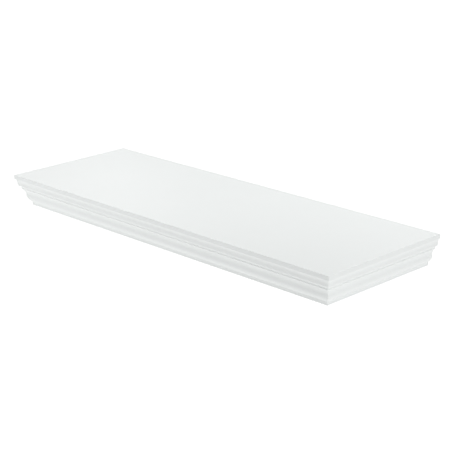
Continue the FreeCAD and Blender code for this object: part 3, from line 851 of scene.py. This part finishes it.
# %% Set the dowels
RAIL_DOWEL, RIB_DOWEL = 8, 6  # diameters, in millimetres like the rest of this cell
RAIL_FLUTES, RIB_FLUTES = 16, 12
DOWEL_LENGTH, DOWEL_BEVEL, FLUTE_DEPTH = 30, 0.9, 0.35
RAIL_DOWEL_X, RAIL_DOWEL_Z = (-416, 416), (-14, 14)
BACK_RAIL_Y, MID_RAIL_Y, RIB_DOWEL_Y = -24, -199, -40
RIB_STATIONS = (-344.5, -180, 0, 180, 344.5)


def set_dowels(name, places, diameter, flutes, turn, finish):
    sizes = {
        "Radius": diameter * MM / 2,
        "Length": DOWEL_LENGTH * MM,
        "Bevel": DOWEL_BEVEL * MM,
        "Flutes": flutes,
        "Flute depth": FLUTE_DEPTH * MM,
        "Turn": turn,
    }
    return run_tree(name, dowel_tree, [Vector(place) * MM for place in places], finish, sizes)


def set_rail_dowels(name, y):
    """Two dowels, one above the other, at each end of a rail."""
    places = [(x, y, z) for x in RAIL_DOWEL_X for z in RAIL_DOWEL_Z]
    return set_dowels(name, places, RAIL_DOWEL, RAIL_FLUTES, ALONG_X, beech["along_x"])


back_dowels = set_rail_dowels("fluted_back_rail_dowels", BACK_RAIL_Y)
mid_dowels = set_rail_dowels("fluted_mid_rail_dowels", MID_RAIL_Y)
rib_places = [(x, RIB_DOWEL_Y, 0) for x in RIB_STATIONS]
rib_dowels = set_dowels(
    "fluted_rib_dowels", rib_places, RIB_DOWEL, RIB_FLUTES, ALONG_Y, beech["along_y"]
)

# %% [markdown]
# ## Weld beads
#
# Each rod stands in a ring of weld, and a weld is a row of frozen ripples, one for each time the
# bead was fed. The tree draws a fillet section round a circle, then pulls each point towards the
# corner between rod and plate by a saw-toothed amount, so the ripples lie over each other like
# scales. Each ring is turned by its own seeded angle, since no two start at the same place.

# %% Shape a weld bead
WELD_LEG = 3 * MM
WELD_STEPS = 8  # across the bead's face
WELD_FLATNESS = 1.35  # of the face: 1 would be a quarter round, and 2 straight
POINTS_PER_RIPPLE = 8
RIPPLE_LEAN = 0.45  # how far round a ripple's edges lie from its middle, in ripples
SPIN_SEED = 7


def weld_outline_points():
    """A fillet: a leg on the plate, a leg on the rod and a gently swollen face between them."""
    angles = [math.pi / 2 / WELD_STEPS * step for step in range(WELD_STEPS + 1)]
    face = [(math.cos(a) ** WELD_FLATNESS, math.sin(a) ** WELD_FLATNESS) for a in angles]
    return [(out * WELD_LEG, -up * WELD_LEG) for out, up in [(0, 0), *face]]


def weld_tree(inputs):
    """A rippled fillet round each starting point, standing on the plate."""
    radius, ripples = inputs["Rod radius"], inputs["Ripples"]
    around = {"Resolution": ripples * POINTS_PER_RIPPLE, "Radius": radius}
    circle = radius.node("GeometryNodeCurvePrimitiveCircle", {}, around, "Curve")
    outline = radius.node("GeometryNodeObjectInfo", {}, {"Object": inputs["Section"]}, "Geometry")
    drawn = {"Curve": circle, "Profile Curve": outline}
    ring = circle.node("GeometryNodeCurveToMesh", {}, drawn, "Mesh")
    x, y, up = radius.node("GeometryNodeInputPosition", {}, {}).parts()
    reach = from_axis(x, y)
    out = reach - radius
    lean = (out - up) / inputs["Leg"]
    turns = radius.math("ARCTAN2", y, x) / math.tau + 0.5
    phase = radius.math("FRACT", turns * ripples + lean * lean * RIPPLE_LEAN)
    keep = 1 - inputs["Ripple depth"] * phase * phase
    fit = (radius + out * keep) / reach
    moved = radius.node("ShaderNodeCombineXYZ", {}, {"X": x * fit, "Y": y * fit, "Z": up * keep})
    bead = ring.node("GeometryNodeSetPosition", {}, {"Geometry": ring, "Position": moved})
    draw = {"Max_001": math.tau, "Seed": SPIN_SEED}
    spin = radius.node("FunctionNodeRandomValue", {"data_type": "FLOAT"}, draw, "Value_001")
    copies = {"Points": inputs["Start"], "Instance": bead, "Rotation": inputs["Turn"]}
    laid = bead.node("GeometryNodeInstanceOnPoints", {}, copies)
    own_turn = radius.node("ShaderNodeCombineXYZ", {}, {"Z": spin})
    return laid.node("GeometryNodeRotateInstances", {}, {"Instances": laid, "Rotation": own_turn})


# %% Lay the weld beads
ROD_STATIONS = (-270, -90, 90, 270)  # millimetres
ROD_RADIUS = 6 * MM
PLATE_FACE = -3 * MM

weld_outline = closed_curve("weld_section", weld_outline_points())
weld_sizes = {
    "Rod radius": ROD_RADIUS,
    "Leg": WELD_LEG,
    "Ripples": 26,
    "Ripple depth": 0.2,
    "Turn": ALONG_Y,
    "Section": weld_outline,
}
weld_places = [Vector((x * MM, PLATE_FACE, 0)) for x in ROD_STATIONS]
welds = run_tree("rippled_welds", weld_tree, weld_places, weld_metal, weld_sizes)
bpy.data.objects.remove(weld_outline, do_unlink=True)

# %% [markdown]
# ## Lock screws and their inserts
#
# A thread is a groove that climbs by one pitch for each turn, so its depth depends only on height
# and angle. That makes it a lathe job: a stack of rings whose points move in by the thread's wave.
# The lock screw is one such stack, from the hexagonal socket in its foot up to its bevelled tip.
# The insert is the same idea bent back on itself, threaded outside to bite the block and inside
# for the screw, so its stack closes on its own first ring.

# %% A lathe that can cut threads, in millimetres
AROUND = 48
FADE_RINGS = 6  # a thread fades in and out over this many rings


def hexagon_reach(angle, across_flats):
    """How far a hexagon's side is from its middle in that direction."""
    return across_flats / 2 / math.cos((angle + math.pi / 6) % (math.pi / 3) - math.pi / 6)


def thread_rings(start, stop, rings_per_mm, radius, pitch, depth, narrowed=0.0):
    """Rings of a thread. A negative depth cuts outwards, and narrowed thins the faded ends."""
    def thread_cut(height, angle):
        phase = (height / pitch - angle / math.tau) % 1
        return depth * (1 - abs(2 * phase - 1))

    def ring(height, fade):
        return lambda angle: radius - narrowed * (1 - fade) - fade * thread_cut(height, angle)

    count = round(abs(stop - start) * rings_per_mm)
    rings = []
    for step in range(count + 1):
        height = start + (stop - start) * step / count
        fade = min(1, step / FADE_RINGS, (count - step) / FADE_RINGS)
        rings.append((height, ring(height, fade)))
    return rings


def turn_on_lathe(name, rings, centre, finish, closed):
    """Each ring is a height and either a radius or a rule for the radius at an angle."""
    shape = bmesh.new()
    loops = []
    for height, reach in rings:
        loop = []
        for step in range(AROUND):
            angle = math.tau * step / AROUND
            radius = reach(angle) if callable(reach) else reach
            point = Vector((math.cos(angle) * radius, math.sin(angle) * radius, height)) * MM
            loop.append(shape.verts.new(Vector(centre) * MM + point))
        loops.append(loop)
    pairs = list(zip(loops, loops[1:])) + ([(loops[-1], loops[0])] if closed else [])
    for lower, upper in pairs:
        for step in range(AROUND):
            after = (step + 1) % AROUND
            shape.faces.new((lower[step], lower[after], upper[after], upper[step]))
    if not closed:
        shape.faces.new(loops[0][::-1])
        shape.faces.new(loops[-1])
    mesh = bpy.data.meshes.new(name)
    shape.to_mesh(mesh)
    shape.free()
    mesh.materials.append(finish)
    return tidy_mesh(add_object(name, mesh), sharp=28)


# %% Shape a lock screw
SCREW_FOOT, SCREW_TIP = -22.2, -6.2  # heights
SCREW_PITCH, SCREW_THREAD = 1.0, 0.5
SCREW_BARE = 0.6  # no thread this close to an end
SCREW_NARROWED = 0.25  # how much thinner the screw is where its thread has faded
FOOT_RADIUS, TIP_EDGE_RADIUS, TIP_RADIUS = 2.35, 2.25, 2.1
KEY_SIZE, SOCKET_DEPTH = 3.0, 3.5
SOCKET_BEVEL, SOCKET_BEVEL_DEPTH = 0.22, 0.25
CONE_TIP_RADIUS, CONE_DEPTH = 0.25, 0.7  # what the drill leaves beyond the socket
SOFT_EDGE = 0.05
SOCKET_FLOOR_SHARE = 0.985
FINE_RINGS, COARSE_RINGS = 10, 6  # rings for each millimetre of thread


def screw_rings():
    """From the bottom of the key socket, out over the foot, up the thread to the tip."""
    def socket(share=1.0, wider=0.0):
        return lambda angle: share * hexagon_reach(angle, KEY_SIZE) + wider

    bottom = SCREW_FOOT + SOCKET_DEPTH
    first, last = SCREW_FOOT + SCREW_BARE, SCREW_TIP - SCREW_BARE
    thread = (FINE_RINGS, SCREW_RADIUS, SCREW_PITCH, SCREW_THREAD, SCREW_NARROWED)
    return [
        (bottom + CONE_DEPTH, CONE_TIP_RADIUS),
        (bottom, socket(share=SOCKET_FLOOR_SHARE)),
        (bottom - SOFT_EDGE, socket()),
        (SCREW_FOOT + SOCKET_BEVEL_DEPTH, socket()),
        (SCREW_FOOT, socket(wider=SOCKET_BEVEL)),
        (SCREW_FOOT, FOOT_RADIUS),
        *thread_rings(first, last, *thread),
        (SCREW_TIP - SOFT_EDGE, TIP_EDGE_RADIUS),
        (SCREW_TIP, TIP_RADIUS),
    ]


print(len(screw_rings()), "rings in a lock screw")

# %% Shape its insert
INSERT_FOOT, INSERT_TOP = -24.0, -12.0
INSERT_RADIUS, INSERT_PITCH, INSERT_THREAD, INSERT_BARE = 4.5, 2.0, 0.6, 0.4
BORE_CREST, BORE_THREAD, BORE_BARE = 3.05, 0.35, 0.35
OUTER_END, BORE_END = 4.15, 3.4  # the insert's bevelled ends


def insert_rings():
    """Up the outside with its coarse thread, over the rim, and down the bore with its fine one."""
    outside = (COARSE_RINGS, INSERT_RADIUS, INSERT_PITCH, INSERT_THREAD)
    bore = (FINE_RINGS, BORE_CREST, SCREW_PITCH, -BORE_THREAD)
    return [
        (INSERT_FOOT, OUTER_END),
        *thread_rings(INSERT_FOOT + INSERT_BARE, INSERT_TOP - INSERT_BARE, *outside),
        (INSERT_TOP, OUTER_END),
        (INSERT_TOP, BORE_END),
        *thread_rings(INSERT_TOP - BORE_BARE, INSERT_FOOT + BORE_BARE, *bore),
        (INSERT_FOOT, BORE_END),
    ]


print(len(insert_rings()), "rings in an insert")

# %% Turn the screws and inserts
SIDES = ("left", "right")
screws, inserts = {}, {}
for side, x in zip(SIDES, (-KEY_HOLE_X, KEY_HOLE_X)):
    at = (x, KEY_HOLE_Y, 0)
    screws[side] = turn_on_lathe(f"grub_screw_{side}", screw_rings(), at, black_oxide, closed=False)
    inserts[side] = turn_on_lathe(f"threaded_insert_{side}", insert_rings(), at, brass, closed=True)

# %% [markdown]
# ## Handing out the finishes
#
# The solids whose shape is already right keep their own mesh and get a finish in their material
# slot. The new pieces stand for their solids and ride on the same body. The table also lists each
# one's slot in the record, which nothing here reads.

# %% Give the solids their finishes
FINISHES = {
    "top_panel": white_lacquer,
    "bottom_panel": white_foil,
    "back_rail": rail_board,
    "mid_rail": rail_board,
    "bracket_plate": plate_zinc,
    **{f"rib_{number}": fibreboard for number in range(1, 6)},
    **{f"corner_block_{side}": fibreboard for side in SIDES},
    **{f"mitre_biscuit_{side}": beech["slanting"] for side in SIDES},
    **{f"lock_block_{side}": beech["upright"] for side in SIDES},
    **{f"support_rod_{number}": rod_zinc for number in range(1, 5)},
}
for name, finish in FINISHES.items():
    for material_slot in solids[name].material_slots:
        material_slot.material = finish
print(len(FINISHES), "solids keep their mesh")

# %% Let the new pieces stand for their solids
STAND_INS = [
    (mouldings["front"], "front_moulding", "shelf", "white_lacquer"),
    (mouldings["left"], "left_moulding", "shelf", "white_lacquer"),
    (mouldings["right"], "right_moulding", "shelf", "white_lacquer"),
    (back_dowels, "back_rail_dowels", "shelf", "beech"),
    (mid_dowels, "mid_rail_dowels", "shelf", "beech"),
    (rib_dowels, "rib_dowels", "shelf", "beech"),
    (welds, "rod_welds", "bracket", "weld_metal"),
]
for side in SIDES:
    STAND_INS.append((inserts[side], f"lock_insert_{side}", "shelf", "brass"))
    STAND_INS.append((screws[side], f"lock_screw_{side}", f"lock_screw_{side}", "blackened_steel"))

for piece, solid, body, slot in STAND_INS:
    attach(piece, body)
    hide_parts(solid)
    low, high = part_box(solid)
    gap = max(
        max(low[axis] - corner[axis], corner[axis] - high[axis])
        for corner in piece.bound_box
        for axis in range(3)
    )
    print(f"{piece.name} stands out of {solid} by {max(gap, 0) / MM:.3f} mm")

# %% [markdown]
# ## Floor and light
#
# The shelf hangs high over a pale floor, far enough that no shadow touches the picture. White
# things on white are hard to light: a room bright enough to look pure white also fills every
# hollow, and the moulding goes flat. A studio hangs grey cloth just outside the picture for that.
# Here the Light Path node does the same job: the camera sees floor and room as white, from every
# side, and all other rays meet a dimmer grey. Large soft lamps then give the slow fall of light
# along the shelf.

# %% Lay the floor
FLOOR_LEVEL = -3.2
FLOOR_HALF = 60.0
FLOOR_DARK, FLOOR_LIGHT = (0.9, 0.9, 0.9), (0.92, 0.92, 0.92)
FLOOR_GLOW = 0.705
ROOM_GLOW = 0.22
WHITE = (1, 1, 1)
floor_mesh = bpy.data.meshes.new("floor")
square = ((-1, -1), (1, -1), (1, 1), (-1, 1))
floor_corners = [(x * FLOOR_HALF, y * FLOOR_HALF, FLOOR_LEVEL) for x, y in square]
floor_mesh.from_pydata(floor_corners, [], [(0, 1, 2, 3)])
floor = add_object("floor", floor_mesh)
floor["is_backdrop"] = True


def seen_white(start, grey):
    """White for the camera, and that grey for the rays that light the shelf."""
    seen = start.node("ShaderNodeLightPath", {}, {}, "Is Camera Ray")
    return mix(seen, (grey, grey, grey), WHITE)


def floor_painter(place):
    cloud = noise(place, 0.8, detail=1)
    return {
        "colour": mix(cloud, FLOOR_DARK, FLOOR_LIGHT),
        "roughness": cloud.span(0.85, 0.95),
        "glow": seen_white(place, FLOOR_GLOW),
    }


floor_mesh.materials.append(make_finish("pale_floor", floor_painter, Emission_Strength=1.0))

# %% Set up the room
scene = bpy.context.scene
scene.view_settings.view_transform = "Standard"
world = bpy.data.worlds.new("soft_room")
scene.world = world
world.use_nodes = True
room = world.node_tree.nodes["Background"].inputs["Color"]
world.node_tree.links.new(seen_white(Wire(world.node_tree), ROOM_GLOW).socket, room)

# %% Hang the lamps
LAMP_TARGET = Vector((0, -0.15, 0))
LAMPS = {  # place and side length in metres, power in watts
    "lamp_overhead_left": ((-1.8, 0.2, 1.6), 2.4, 24.9),
    "lamp_over_top": ((0.1, 0.15, 0.95), 1.3, 8.0),
    "lamp_front": ((-0.8, -1.5, 0.1), 0.8, 5.9),
    "lamp_right": ((2.6, -0.6, 0.9), 2.0, 26.3),
    "lamp_behind": ((0.0, 2.4, 0.9), 3.4, 11.6),
}


def hang_lamp(name, place, size, power):
    """A square soft lamp that looks at the shelf."""
    data = bpy.data.lights.new(name, "AREA")
    data.shape, data.size, data.energy = "SQUARE", size, power
    lamp = add_object(name, data)
    lamp.location = place
    lamp.rotation_mode = "QUATERNION"
    lamp.rotation_quaternion = (LAMP_TARGET - Vector(place)).to_track_quat("-Z", "Y")
    lamp.visible_camera = False


for name, (place, size, power) in LAMPS.items():
    hang_lamp(name, place, size, power)

# %% [markdown]
# ## The dressed size
#
# The dressed shelf must be exactly as large as its solids, so its box is measured and its size
# printed.

# %% Measure the dressed shelf
bpy.context.view_layer.update()
dressed_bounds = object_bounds()
dressed_size = dressed_bounds[1] - dressed_bounds[0]
print("dressed size in mm:", [round(size / MM, 2) for size in dressed_size])
